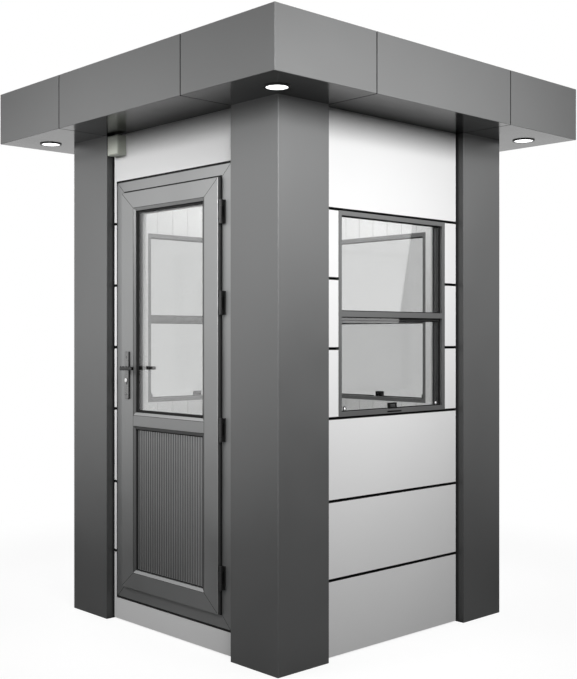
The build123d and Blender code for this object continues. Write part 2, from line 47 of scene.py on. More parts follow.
def addCamera(look):
    turn = [math.radians(angle) for angle in look["turn"]]
    bpy.ops.object.camera_add(location=look["place"], rotation=turn)
    camera = bpy.context.object
    camera.name = "viewCamera"
    camera.data.lens = look["lens"]
    camera.data.shift_x = look["shiftX"]
    camera.data.shift_y = look["shiftY"]
    scene.camera = camera


addCamera(viewpoint)
print("camera placed")


# Node tree helpers
noiseSpan = (0.3, 0.7)      # the noise seldom leaves this span
squareOn = 0.5              # a face looks along an axis when its normal reaches this far along it


def plugIn(tree, value, socket):
    # a socket is linked, any other value is set on the node's own socket
    if isinstance(value, bpy.types.NodeSocket):
        tree.links.new(value, socket)
    else:
        socket.default_value = value


def addNode(tree, kind, inputs=None, **settings):
    node = tree.nodes.new("ShaderNode" + kind)
    for name, value in settings.items():
        setattr(node, name, value)
    for name, value in (inputs or {}).items():
        plugIn(tree, value, node.inputs[name])
    return node


def startFinish(name):
    finish = bpy.data.materials.new(name)
    finish.use_nodes = True
    return finish, finish.node_tree, finish.node_tree.nodes["Principled BSDF"]


def setSockets(tree, shader, sockets):
    for name, value in sockets.items():
        plugIn(tree, value, shader.inputs[name])


def placeOn(tree, stretch=(1.0, 1.0, 1.0)):
    # Object coordinates, pulled out along an axis
    spot = addNode(tree, "TexCoord")
    return addNode(tree, "Mapping", {"Vector": spot.outputs["Object"], "Scale": stretch}).outputs["Vector"]


def facingOf(tree):
    return addNode(tree, "TexCoord").outputs["Normal"]


def alongAxis(tree, vector, axis):
    return addNode(tree, "SeparateXYZ", {"Vector": vector}).outputs[axis]


def clouds(tree, scale, low, high, detail=2.0, stretch=(1.0, 1.0, 1.0)):
    # soft noise, spread from low to high
    noise = addNode(tree, "TexNoise", {"Vector": placeOn(tree, stretch), "Scale": scale, "Detail": detail})
    spread = {"Value": noise.outputs["Fac"], "From Min": noiseSpan[0], "From Max": noiseSpan[1], "To Min": low,
              "To Max": high}
    return addNode(tree, "MapRange", spread).outputs["Result"]


def cloudyRoughness(tree, look):
    return clouds(tree, look["roughScale"], look["rough"] - look["roughSwing"], look["rough"] + look["roughSwing"])


def ramp(tree, value, low, high, start=0.0, end=1.0):
    spread = {"Value": value, "From Min": low, "From Max": high, "To Min": start, "To Max": end}
    return addNode(tree, "MapRange", spread, interpolation_type="SMOOTHSTEP").outputs["Result"]


def blendTones(tree, factor, first, second):
    mix = addNode(tree, "Mix", data_type="RGBA")
    for slot, value in ((0, factor), (6, first), (7, second)):
        plugIn(tree, (*value, 1.0) if isinstance(value, tuple) else value, mix.inputs[slot])
    return mix.outputs[2]


def reckon(tree, operation, first, second=0.0):
    step = addNode(tree, "Math", operation=operation)
    plugIn(tree, first, step.inputs[0])
    plugIn(tree, second, step.inputs[1])
    return step.outputs[0]


def bump(tree, height, depth, below=None):
    # bump whose full height is depth metres
    inputs = {"Height": height, "Distance": depth, "Strength": 1.0}
    if below is not None:
        inputs["Normal"] = below
    return addNode(tree, "Bump", inputs).outputs["Normal"]


def grey(level, cool=0.0):
    # a grey, with green and blue raised by cool
    return (level, level + cool, level + cool)


def edgeShadeAndJointMask(tree, look, facing):
    # painted shade: sides of joints, returns and reveals, whose plane passes close to the middle of the cabin, are
    # darkened as if in shade
    inputs = {0: placeOn(tree, (1.0, 1.0, 0.0)), 1: facing}
    level = addNode(tree, "VectorMath", inputs, operation="DOT_PRODUCT").outputs["Value"]
    mask = reckon(tree, "LESS_THAN", reckon(tree, "ABSOLUTE", level), look["edgeReach"])
    if not look["edgeFlat"]:
        lift = reckon(tree, "ABSOLUTE", alongAxis(tree, facing, "Z"))
        mask = reckon(tree, "MULTIPLY", mask, reckon(tree, "LESS_THAN", lift, squareOn))
    if "courses" in look:
        # folded lips of the dark backing on both sides of each course joint
        height = alongAxis(tree, placeOn(tree), "Z")
        for course in look["courses"]:
            away = reckon(tree, "ABSOLUTE", reckon(tree, "SUBTRACT", height, course))
            mask = reckon(tree, "MAXIMUM", mask, reckon(tree, "LESS_THAN", away, look["lip"]))
    return mask


def coatFinish(name, look):
    # stoved powder coat: faint patches and fine orange peel
    finish, tree, shader = startFinish(name)
    facing = facingOf(tree)
    tone = blendTones(tree, clouds(tree, look["patchScale"], 0.0, 1.0), look["dark"], look["light"])
    speck = clouds(tree, look["grainScale"], 0.0, look["speck"], detail=1.0)
    tone = blendTones(tree, speck, tone, look["speckTone"])
    fine = bump(tree, clouds(tree, look["grainScale"], 0.0, 1.0, detail=1.0), look["grainDepth"])
    wave = bump(tree, clouds(tree, look["waveScale"], 0.0, 1.0, detail=1.0), look["waveDepth"], fine)
    rough = cloudyRoughness(tree, look)
    # painted shade on returns, reveals and joint sides, and on white cladding also the dark lips of the course joints
    if look["edgeShadeAndJointTone"]:
        tone = blendTones(tree, edgeShadeAndJointMask(tree, look, facing), tone, look["edgeShadeAndJointTone"])
    if "grooveShadeTone" in look:
        # painted shade: the flutes are darker the deeper they go
        share = ramp(tree, alongAxis(tree, placeOn(tree), "Y"), *look["grooveSpan"], 0.0, look["grooveShadeShare"])
        tone = blendTones(tree, share, tone, look["grooveShadeTone"])
    if "underShadeTone" in look:
        # faces that look down keep the smooth film of the sheet, and get painted shade: a much darker tone
        under = reckon(tree, "LESS_THAN", alongAxis(tree, facing, "Z"), look["underSlope"])
        smoother = reckon(tree, "MULTIPLY", under, look["rough"] - look["underRough"])
        rough = reckon(tree, "SUBTRACT", rough, smoother)
        tone = blendTones(tree, under, tone, look["underShadeTone"])
    setSockets(tree, shader, {"Base Color": tone, "Normal": wave, "Roughness": rough, "Metallic": look["metal"],
                              "Specular IOR Level": look["specular"]})
    return finish


columnCoat = {"dark": grey(0.155, 0.002), "light": grey(0.168, 0.002), "speckTone": grey(0.22), "speck": 0.10,
              "patchScale": 1.3, "grainScale": 420.0, "grainDepth": 0.00004, "waveScale": 3.0, "waveDepth": 0.0004,
              "rough": 0.42, "roughScale": 2.99, "roughSwing": 0.04, "specular": 0.5, "metal": 0.5,
              "edgeShadeAndJointTone": grey(0.085, 0.001), "edgeReach": 0.6, "edgeFlat": False}
canopyCoat = {**columnCoat, "dark": grey(0.208, 0.002), "light": grey(0.221, 0.002), "speckTone": grey(0.25),
              "rough": 0.40, "specular": 0.2, "metal": 0.2, "edgeShadeAndJointTone": grey(0.008),
              "underShadeTone": grey(0.012, 0.001), "underRough": 0.14, "underSlope": -0.9}
doorCoat = {**columnCoat, "dark": grey(0.285, 0.003), "light": grey(0.300, 0.003), "speckTone": grey(0.36),
            "metal": 0.8, "edgeShadeAndJointTone": grey(0.12, 0.001)}
flutedCoat = {**doorCoat, "dark": grey(0.325, 0.003), "light": grey(0.340, 0.003), "grooveShadeTone": grey(0.10, 0.001),
              "grooveSpan": (-0.7179, -0.7155), "grooveShadeShare": 0.85}
windowCoat = {**doorCoat, "dark": grey(0.175, 0.002), "light": grey(0.188, 0.002), "speckTone": grey(0.24),
              "metal": 0.6, "edgeShadeAndJointTone": grey(0.13, 0.001)}
# painted highlight: a lighter copy of the door coat, for the strip on the hinge edge of the leaf
edgeHighlightCoat = {**doorCoat, "dark": grey(0.44, 0.004), "light": grey(0.47, 0.004), "edgeShadeAndJointTone": None}
whiteCoat = {**columnCoat, "dark": grey(0.86), "light": grey(0.89), "speckTone": grey(0.80), "rough": 0.48,
             "specular": 0.3, "metal": 0.0, "waveScale": 5.0, "edgeShadeAndJointTone": grey(0.004), "edgeFlat": True,
             "courses": (0.330, 0.664, 1.015, 1.311, 1.608, 1.904), "lip": 0.0062}
# painted light: the front cladding gets a lighter copy of the white coat of the other cladding
litFrontWhite = {**whiteCoat, "dark": grey(0.93), "light": grey(0.95)}
whiteBead = {**whiteCoat, "edgeShadeAndJointTone": None, "rough": 0.35}
blackCoat = {**columnCoat, "dark": grey(0.012), "light": grey(0.020), "speckTone": grey(0.05), "rough": 0.38,
             "waveDepth": 0.0, "metal": 0.0, "edgeShadeAndJointTone": None}
trayCoat = {**blackCoat, "dark": grey(0.004), "light": grey(0.008), "speckTone": grey(0.02), "specular": 0.2}
slideCoat = {**blackCoat, "dark": grey(0.045, 0.001), "light": grey(0.060, 0.001), "speckTone": grey(0.09)}


def boardFinish(name, look):
    # narrow lining boards: a groove every board width, and a slightly different tone on each board
    finish, tree, shader = startFinish(name)
    spot = addNode(tree, "TexCoord").outputs["Object"]
    sideways = reckon(tree, "GREATER_THAN", reckon(tree, "ABSOLUTE", alongAxis(tree, facingOf(tree), "X")), squareOn)
    along = addNode(tree, "Mix", data_type="FLOAT")
    for slot, value in ((0, sideways), (2, alongAxis(tree, spot, "X")), (3, alongAxis(tree, spot, "Y"))):
        plugIn(tree, value, along.inputs[slot])
    boards = reckon(tree, "MULTIPLY", along.outputs[0], 1.0 / look["boardWidth"])
    toEdge = reckon(tree, "PINGPONG", reckon(tree, "FRACT", boards), 0.5)
    seam = ramp(tree, toEdge, *look["seamSpan"], 1.0, 0.0)
    oneBoard = addNode(tree, "TexWhiteNoise", {"W": reckon(tree, "FLOOR", boards)}, noise_dimensions="1D")
    tone = blendTones(tree, oneBoard.outputs["Value"], look["dark"], look["light"])
    stain = clouds(tree, look["stainScale"], 0.0, look["stainShare"], detail=4.0, stretch=look["stainStretch"])
    tone = blendTones(tree, seam, blendTones(tree, stain, tone, look["stain"]), look["seamTone"])
    grain = clouds(tree, look["grainScale"], 0.0, 1.0, detail=3.0, stretch=look["grainStretch"])
    raised = bump(tree, reckon(tree, "SUBTRACT", 1.0, seam), look["seamDepth"], bump(tree, grain, look["grainDepth"]))
    setSockets(tree, shader, {"Base Color": tone, "Normal": raised, "Roughness": cloudyRoughness(tree, look),
                              "Specular IOR Level": look["specular"]})
    return finish


liningBoards = {"dark": grey(0.83), "light": grey(0.88), "stain": (0.78, 0.78, 0.77), "stainScale": 3.0,
                "stainShare": 0.25, "stainStretch": (1.0, 1.0, 0.2), "boardWidth": 0.1, "seamTone": grey(0.55),
                "seamSpan": (0.009, 0.03), "seamDepth": 0.0015, "grainScale": 160.0, "grainDepth": 0.00006,
                "grainStretch": (1.0, 1.0, 0.15), "rough": 0.6, "roughScale": 4.0, "roughSwing": 0.06,
                "specular": 0.3}


def zincFinish(name, look):
    # galvanised steel with its leafy spangle
    finish, tree, shader = startFinish(name)
    leaf = addNode(tree, "TexVoronoi", {"Vector": placeOn(tree), "Scale": look["spangle"]})
    fleck = addNode(tree, "SeparateColor", {"Color": leaf.outputs["Color"]}).outputs["Red"]
    rust = clouds(tree, look["rustScale"], 0.0, look["rustShare"], detail=4.0)
    tone = blendTones(tree, rust, blendTones(tree, fleck, look["dark"], look["light"]), look["whiteRust"])
    dents = clouds(tree, look["dentScale"], 0.0, 1.0, detail=3.0)
    setSockets(tree, shader, {"Base Color": tone, "Roughness": ramp(tree, fleck, 0.0, 1.0, *look["roughSpan"]),
                              "Metallic": look["metal"], "Normal": bump(tree, dents, look["dentDepth"])})
    return finish


zincLook = {"dark": (0.36, 0.37, 0.38), "light": (0.50, 0.51, 0.52), "whiteRust": (0.60, 0.61, 0.61),
            "rustScale": 6.0, "rustShare": 0.5, "spangle": 70.0, "dentScale": 90.0, "dentDepth": 0.00008,
            "roughSpan": (0.34, 0.52), "metal": 0.85}


def speckledFinish(name, look):
    # sheet flooring, foam, rubber or moulded plastic: a base tone with specks
    finish, tree, shader = startFinish(name)
    tone = blendTones(tree, clouds(tree, look["patchScale"], 0.0, 1.0), look["dark"], look["light"])
    dots = addNode(tree, "TexVoronoi", {"Vector": placeOn(tree), "Scale": look["dotScale"]}).outputs["Distance"]
    tone = blendTones(tree, ramp(tree, dots, *look["dotSpan"], look["dots"], 0.0), tone, look["dotTone"])
    grain = clouds(tree, look["grainScale"], 0.0, 1.0)
    setSockets(tree, shader, {"Base Color": tone, "Specular IOR Level": look["specular"],
                              "Roughness": cloudyRoughness(tree, look),
                              "Normal": bump(tree, grain, look["grainDepth"])})
    return finish


deckLook = {"dark": (0.36, 0.36, 0.355), "light": (0.42, 0.42, 0.41), "patchScale": 2.0,
            "dotTone": (0.60, 0.60, 0.58), "dots": 0.8, "dotScale": 130.0, "dotSpan": (0.12, 0.22),
            "grainScale": 300.0, "grainDepth": 0.0001, "rough": 0.5, "roughScale": 6.0, "roughSwing": 0.07,
            "specular": 0.4}
foamLook = {**deckLook, "dark": grey(0.004), "light": grey(0.008), "dotTone": grey(0.02), "dots": 0.3,
            "rough": 0.85, "specular": 0.05}
rubberLook = {**foamLook, "dark": grey(0.008), "light": grey(0.014), "dotScale": 400.0, "rough": 0.7,
              "specular": 0.2}
housingLook = {**deckLook, "dark": (0.58, 0.61, 0.53), "light": (0.63, 0.66, 0.58), "patchScale": 14.0,
               "dotTone": (0.52, 0.54, 0.48), "dots": 0.2, "dotScale": 900.0, "grainDepth": 0.00005,
               "rough": 0.38, "roughScale": 42.0, "specular": 0.5}
# painted light: the lid is a lighter copy of the housing colour, so the front of the box looks lit
litLidLook = {**housingLook, "dark": (0.78, 0.81, 0.72), "light": (0.84, 0.87, 0.78), "dotTone": (0.72, 0.74, 0.66)}


def brushedFinish(name, look):
    # satin steel, brushed along the piece
    finish, tree, shader = startFinish(name)
    strokes = clouds(tree, look["strokeScale"], 0.0, 1.0, detail=3.0, stretch=look["strokes"])
    tone = blendTones(tree, strokes, look["dark"], look["light"])
    tone = blendTones(tree, clouds(tree, look["handledScale"], 0.0, look["handledShare"]), tone, look["handled"])
    if look["sideShadeTone"]:
        # painted shade and highlight: rounded and side faces are blackened as if in shade, the flat front stays
        # bright as if lit
        front = reckon(tree, "ABSOLUTE", alongAxis(tree, facingOf(tree), "Y"))
        tone = blendTones(tree, ramp(tree, front, *look["frontSpan"]), look["sideShadeTone"], tone)
    setSockets(tree, shader, {"Base Color": tone, "Metallic": look["metal"],
                              "Normal": bump(tree, strokes, look["strokeDepth"]),
                              "Roughness": cloudyRoughness(tree, look)})
    return finish


steelLook = {"dark": grey(0.20), "light": grey(0.30), "strokes": (1.0, 1.0, 0.04), "strokeScale": 500.0,
             "strokeDepth": 0.00002, "handled": grey(0.16), "handledScale": 25.0, "handledShare": 0.35,
             "rough": 0.3, "roughScale": 40.0, "roughSwing": 0.06, "metal": 0.9, "sideShadeTone": grey(0.008),
             "frontSpan": (0.4, 0.8)}
leverSteel = {**steelLook, "dark": grey(0.03), "light": grey(0.06), "handled": grey(0.10), "rough": 0.25,
              "strokes": (0.04, 1.0, 1.0), "sideShadeTone": grey(0.004), "frontSpan": (0.90, 0.995)}
# painted highlight: the near-white colour of the studs and lock plugs stands in for the glint on polished steel
brightGlintSteel = {**steelLook, "dark": grey(0.86), "light": grey(0.92), "handled": grey(0.80), "metal": 0.4,
               "sideShadeTone": None}


def paneFinish(name, look):
    # clear float glass: light goes straight through, the sky is mirrored in it more and more at a slant
    finish, tree, shader = startFinish(name)
    tree.nodes.remove(shader)
    tint = blendTones(tree, clouds(tree, look["tintScale"], 0.0, 1.0), look["tint"], look["tintThin"])
    through = addNode(tree, "BsdfTransparent", {"Color": tint})
    ripple = bump(tree, clouds(tree, look["rippleScale"], 0.0, 1.0, detail=1.0), look["ripple"])
    smear = clouds(tree, look["smearScale"], 0.0, look["smear"], detail=4.0)
    mirror = addNode(tree, "BsdfGlossy", {"Normal": ripple, "Color": (*look["mirror"], 1.0), "Roughness": smear})
    facing = addNode(tree, "LayerWeight", {"Blend": look["slantBlend"]}).outputs["Facing"]
    slant = reckon(tree, "ADD", reckon(tree, "POWER", facing, look["slantPower"]), look["mirrorShare"])
    both = addNode(tree, "MixShader", {0: slant, 1: through.outputs["BSDF"], 2: mirror.outputs["BSDF"]})
    tree.links.new(both.outputs["Shader"], tree.nodes["Material Output"].inputs["Surface"])
    return finish


doorPane = {"tint": (0.912, 0.914, 0.913), "tintThin": (0.918, 0.920, 0.919), "tintScale": 2.0,
            "ripple": 0.0002, "rippleScale": 1.6, "smear": 0.02, "smearScale": 7.0, "mirror": grey(1.0),
            "mirrorShare": 0.08, "slantPower": 5.0, "slantBlend": 0.5}
windowPane = {**doorPane, "tint": (0.875, 0.877, 0.876), "tintThin": (0.881, 0.883, 0.882), "mirrorShare": 0.115}
farPane = {**windowPane, "mirrorShare": 0.03}


def lensFinish(name, look):
    # lit opal lens with a fine prismatic pattern
    finish, tree, shader = startFinish(name)
    cells = addNode(tree, "TexVoronoi", {"Vector": placeOn(tree), "Scale": look["cellScale"]}).outputs["Distance"]
    glow = blendTones(tree, ramp(tree, cells, *look["cellSpan"]), look["bright"], look["dim"])
    setSockets(tree, shader, {"Base Color": glow, "Emission Color": glow, "Emission Strength": look["strength"],
                              "Roughness": clouds(tree, look["roughScale"], *look["roughSpan"]),
                              "Normal": bump(tree, cells, look["cellDepth"])})
    return finish


lensLook = {"bright": (1.0, 1.0, 1.0), "dim": (0.92, 0.93, 0.94), "cellScale": 260.0, "cellSpan": (0.0, 0.6),
            "cellDepth": 0.0003, "roughScale": 200.0, "roughSpan": (0.25, 0.4), "strength": 3.0}

# Each finish: its name, how it is made, its values, and the nodes that get it
finishTable = (
    ("columnCoat", coatFinish, columnCoat,
     ("front_left_column", "front_right_column", "back_left_column", "back_right_column")),
    ("canopyCoat", coatFinish, canopyCoat, ("canopy_corners", "canopy_sides", "roof_sheet")),
    ("doorCoat", coatFinish, doorCoat,
     ("door_frame_jambs", "door_frame_rails", "door_stiles", "door_rails", "door_beads")),
    ("flutedCoat", coatFinish, flutedCoat, ("door_panel",)),
    ("windowCoat", coatFinish, windowCoat, ("right_window_frame", "back_window_frame", "left_window_frame")),
    ("edgeHighlightCoat", coatFinish, edgeHighlightCoat, ()),
    ("whiteCoat", coatFinish, whiteCoat, ("right_cladding", "back_cladding", "left_cladding")),
    ("litFrontWhite", coatFinish, litFrontWhite, ("front_cladding",)),
    ("whiteBead", coatFinish, whiteBead, ()),
    ("blackCoat", coatFinish, blackCoat,
     ("downlight_rings", "window_latches", "hinge_frame_halves", "hinge_leaf_halves", "inner_lever")),
    ("trayCoat", coatFinish, trayCoat, ()),
    ("slideCoat", coatFinish, slideCoat, ()),
    ("liningBoards", boardFinish, liningBoards, ("wall_lining", "ceiling")),
    ("zinc", zincFinish, zincLook, ("base_joists",)),
    ("deckSheet", speckledFinish, deckLook, ("floor_deck",)),
    ("darkFoam", speckledFinish, foamLook, ("front_wall", "right_wall", "back_wall", "left_wall", "roof_core")),
    ("sealRubber", speckledFinish, rubberLook, ("window_seals", "glass_spacer")),
    ("paleHousing", speckledFinish, housingLook, ("sensor_box",)),
    ("litPaleLid", speckledFinish, litLidLook, ()),
    ("satinSteel", brushedFinish, steelLook, ("handle_plates", "handle_spindle", "lock_cylinder")),
    ("leverSteel", brushedFinish, leverSteel, ("outer_lever",)),
    ("brightGlintSteel", brushedFinish, brightGlintSteel, ()),
    ("doorPane", paneFinish, doorPane, ("door_glass",)),
    ("windowPane", paneFinish, windowPane, ("right_window_glass",)),
    ("farPane", paneFinish, farPane, ("back_window_glass", "left_window_glass")),
    ("litLens", lensFinish, lensLook, ("downlight_lenses",)),
)
finishes = {}
bare = set(nodes)
for finishName, makeFinish, finishLook, painted in finishTable:
    finishes[finishName] = makeFinish(finishName, finishLook)
    for nodeName in painted:
        nodes[nodeName].data.materials.clear()
        nodes[nodeName].data.materials.append(finishes[finishName])
    bare -= set(painted)
print("finishes made:", len(finishes), "nodes without one:", sorted(bare))


# Mesh helpers: each piece is shaped in edit mode from a primitive and left at the origin, unturned and unscaled
frontFacing = 0.9           # a face is a front when its normal reaches this far along the axis
smoothAngle = 35.0          # degrees
windowWalls = (0, 90, 180)  # turn of the right, back and left wall, degrees
buttonSteps = ((0.35, 1.0), (0.3, 0.35))    # each inset, of the radius, and the rise after it, of the dome


def pickOnly(piece):
    bpy.ops.object.select_all(action="DESELECT")
    piece.select_set(True)
    bpy.context.view_layer.objects.active = piece


def pickFaces(piece, wanted):
    # in edit mode: selects the faces that wanted() says yes to
    bpy.ops.mesh.select_mode(type="FACE")
    bpy.ops.mesh.select_all(action="DESELECT")
    bpy.ops.object.mode_set(mode="OBJECT")
    for face in piece.data.polygons:
        face.select = wanted(face)
    bpy.ops.object.mode_set(mode="EDIT")


def useModifier(piece, kind, **settings):
    bpy.context.view_layer.objects.active = piece
    modifier = piece.modifiers.new(kind.title(), kind)
    for name, value in settings.items():
        setattr(modifier, name, value)
    bpy.ops.object.modifier_apply(modifier=modifier.name)


def settle(piece):
    pickOnly(piece)
    bpy.ops.object.transform_apply(location=True, rotation=True, scale=True)


def copyPiece(piece, place, turn):
    # turn in degrees
    twin = piece.copy()
    twin.data = piece.data.copy()
    scene.collection.objects.link(twin)
    twin.location = place
    twin.rotation_euler = [math.radians(angle) for angle in turn]
    settle(twin)
    return twin


def dropSpares(*pieces):
    for piece in pieces:
        bpy.data.objects.remove(piece)


def joinPieces(pieces, name):
    pickOnly(pieces[0])
    for piece in pieces:
        piece.select_set(True)
    if len(pieces) > 1:
        bpy.ops.object.join()
    whole = bpy.context.object
    whole.name = whole.data.name = name
    return whole


def finishPiece(pieces, name, finishName, body):
    piece = joinPieces(pieces, name)
    pickOnly(piece)
    bpy.ops.object.shade_smooth_by_angle(angle=math.radians(smoothAngle))
    piece.data.materials.clear()
    piece.data.materials.append(finishes[finishName])
    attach(piece, body)
    return piece


def startBlock(size, middle, bevel=0.0, segments=2, turn=(0.0, 0.0, 0.0)):
    # turn in radians
    bpy.ops.object.select_all(action="DESELECT")
    bpy.ops.mesh.primitive_cube_add(size=1.0, location=middle, rotation=turn)
    block = bpy.context.object
    block.scale = size
    settle(block)
    if bevel:
        useModifier(block, "BEVEL", width=bevel, segments=segments)
    return block


def sinkFront(piece, wanted, border, shift):
    # insets the chosen faces by border and moves them by shift
    bpy.ops.object.mode_set(mode="EDIT")
    pickFaces(piece, wanted)
    bpy.ops.mesh.inset(thickness=border)
    bpy.ops.transform.translate(value=shift)
    bpy.ops.object.mode_set(mode="OBJECT")


def cutOut(piece, cutter):
    useModifier(piece, "BOOLEAN", operation="DIFFERENCE", object=cutter, solver="EXACT")
    dropSpares(cutter)


def buildButton(radius, height, domeShare, sides):
    # a disc that stands on z = 0, whose crown takes domeShare of its height
    rim = height * (1 - domeShare)
    bpy.ops.object.select_all(action="DESELECT")
    bpy.ops.mesh.primitive_cylinder_add(vertices=sides, radius=radius, depth=rim, location=(0, 0, rim / 2))
    button = bpy.context.object
    bpy.ops.object.mode_set(mode="EDIT")
    pickFaces(button, lambda face: face.normal.z > frontFacing)
    for inset, rise in buttonSteps:
        bpy.ops.mesh.inset(thickness=radius * inset)
        bpy.ops.transform.translate(value=(0, 0, height * domeShare * rise))
    bpy.ops.object.mode_set(mode="OBJECT")
    settle(button)
    return button


def onWall(quarter, out, aside, up):
    # place on the window wall that is turned by quarter degrees
    across, along = math.cos(math.radians(quarter)), math.sin(math.radians(quarter))
    return (out * across - aside * along, out * along + aside * across, up)


# Domed studs in the lower corners of the panes, each on a rubber washer
studs = {"radius": 0.0062, "height": 0.0042, "dome": 0.3, "washerRadius": 0.0108, "washerHeight": 0.0016,
         "washerDome": 0.2, "aside": 0.310, "up": 1.051, "out": 0.698, "sides": 24}


def buildStuds(look):
    stud = buildButton(look["radius"], look["height"], look["dome"], look["sides"])
    washer = buildButton(look["washerRadius"], look["washerHeight"], look["washerDome"], look["sides"])
    studCopies, washerCopies = [], []
    for quarter in windowWalls:
        for aside in (-look["aside"], look["aside"]):
            place = onWall(quarter, look["out"], aside, look["up"])
            studCopies.append(copyPiece(stud, place, (0, 90, quarter)))
            washerCopies.append(copyPiece(washer, place, (0, 90, quarter)))
    dropSpares(stud, washer)
    finishPiece(studCopies, "window_studs", "brightGlintSteel", "cabin")
    finishPiece(washerCopies, "stud_washers", "sealRubber", "cabin")


buildStuds(studs)
print("window studs made")


# Strips that run round a rectangle in the door wall
weatherSeal = {"halfWidth": 0.3600, "low": 0.1700, "high": 2.0525, "width": 0.018, "sideWidth": 0.012,
               "front": -0.7172, "back": -0.7128, "round": 0.0014}
frameSealant = {"halfWidth": 0.4255, "low": 0.1065, "high": 2.1085, "width": 0.010, "sideWidth": 0.004,
                "front": -0.7142, "back": -0.7112, "round": 0.0009}
glazingGasket = {"halfWidth": 0.2494, "low": 1.0056, "high": 1.9524, "width": 0.012, "sideWidth": 0.012,
                 "front": -0.7208, "back": -0.7180, "round": 0.0009}
panelGasket = {"halfWidth": 0.2494, "low": 0.2656, "high": 0.9284, "width": 0.006, "sideWidth": 0.006,
               "front": -0.7200, "back": -0.7178, "round": 0.0007}
# White liner of the glazing on the room side
roomBead = {"halfWidth": 0.2388, "low": 1.0162, "high": 1.9418, "width": 0.003, "sideWidth": 0.003,
            "front": -0.6976, "back": -0.6778, "round": 0.0009}


def buildStrip(name, look, body, finishName="sealRubber"):
    half, width = look["halfWidth"], look["width"]
    middle = (0, look["back"], (look["low"] + look["high"]) / 2)
    bpy.ops.object.select_all(action="DESELECT")
    bpy.ops.mesh.primitive_plane_add(size=1.0, location=middle, rotation=(math.pi / 2, 0, 0))
    strip = bpy.context.object
    strip.scale = (half * 2, look["high"] - look["low"], 1)
    settle(strip)
    bpy.ops.object.mode_set(mode="EDIT")
    bpy.ops.mesh.select_all(action="SELECT")
    bpy.ops.mesh.inset(thickness=width)
    slimmer = (half - look["sideWidth"]) / (half - width)
    bpy.ops.transform.resize(value=(slimmer, 1, 1), center_override=middle)
    bpy.ops.mesh.delete(type="FACE")
    bpy.ops.mesh.select_all(action="SELECT")
    bpy.ops.mesh.extrude_region_move(TRANSFORM_OT_translate={"value": (0, look["front"] - look["back"], 0)})
    bpy.ops.mesh.select_all(action="SELECT")
    bpy.ops.mesh.normals_make_consistent(inside=False)
    bpy.ops.object.mode_set(mode="OBJECT")
    useModifier(strip, "BEVEL", width=look["round"], segments=2)
    finishPiece([strip], name, finishName, body)


buildStrip("weather_seal", weatherSeal, "cabin")
buildStrip("frame_sealant", frameSealant, "cabin")
buildStrip("glazing_gasket", glazingGasket, "door")
buildStrip("panel_gasket", panelGasket, "door")
buildStrip("room_bead", roomBead, "door", "whiteBead")
print("weather seal, sealant and gaskets made")


# Hairline joints of the mitred profiles and round the glazing beads; corners are half width, low and high
seamLook = {"width": 0.0018, "deep": 0.0006, "proud": 0.0003, "round": 0.00024, "leafFace": -0.7340,
            "frameFace": -0.7130, "leafCorner": (0.3545, 0.1775, 2.0405), "frameCorner": (0.4185, 0.1155, 2.0985),
            "rebate": (0.3600, 0.1720, 2.0460), "light": 0.2630, "lightEdges": (0.2520, 0.9420, 0.9920, 1.9660)}


def drawSeam(look, face, start, end):
    # a narrow line from start to end, (x, z), let into the given face and slightly proud of it
    run = (end[0] - start[0], end[1] - start[1])
    depth = look["deep"] + look["proud"]
    middle = ((start[0] + end[0]) / 2, face + look["deep"] - depth / 2, (start[1] + end[1]) / 2)
    size = (math.hypot(*run), depth, look["width"])
    return startBlock(size, middle, look["round"], 1, (0, -math.atan2(run[1], run[0]), 0))


def buildSeams(look):
    leafSeams, frameSeams = [], []
    leafFace, frameFace, light, edges = look["leafFace"], look["frameFace"], look["light"], look["lightEdges"]
    half, low, high = look["leafCorner"]
    outer, bottom, top = look["frameCorner"]
    inner, sill, head = look["rebate"]
    for side in (-1, 1):
        for corner, edge in ((low, edges[0]), (high, edges[3])):
            leafSeams.append(drawSeam(look, leafFace, (side * half, corner), (side * light, edge)))
        for corner, rebate in ((bottom, sill), (top, head)):
            frameSeams.append(drawSeam(look, frameFace, (side * outer, corner), (side * inner, rebate)))
        leafSeams.append(drawSeam(look, leafFace, (side * light, edges[0]), (side * light, edges[3])))
    for edge in edges:
        leafSeams.append(drawSeam(look, leafFace, (-light, edge), (light, edge)))
    finishPiece(leafSeams, "leaf_seams", "sealRubber", "door")
    finishPiece(frameSeams, "frame_seams", "sealRubber", "cabin")


buildSeams(seamLook)
print("door seams made")


# Latch on each sill: a tray with a ribbed slide, and the drain cover below it; frontArea tells its front face
trayLook = {"width": 0.052, "height": 0.027, "depth": 0.012, "border": 0.0032, "sunk": 0.0035, "round": 0.0012,
            "aside": -0.005, "up": 1.039, "out": 0.698, "frontArea": 0.0005}
slideLook = {"width": 0.030, "height": 0.012, "lift": 0.0022, "round": 0.00088, "ribs": 5, "ribWidth": 0.0022,
             "ribPitch": 0.00484, "ribHeight": 0.0096, "ribRise": 0.0012, "ribRound": 0.0006}
drainLook = {"width": 0.096, "height": 0.0072, "depth": 0.0019, "round": 0.000855, "up": 1.0277, "out": 0.713}


def buildLatchTray(look):
    # stands on z = 0, its back at x = 0, and faces +x
    size = (look["depth"], look["width"], look["height"])
    tray = startBlock(size, (look["depth"] / 2, 0, look["height"] / 2), look["round"])
    sinkFront(tray, lambda face: face.normal.x > frontFacing and face.area > look["frontArea"], look["border"],
              (-look["sunk"], 0, 0))
    return tray


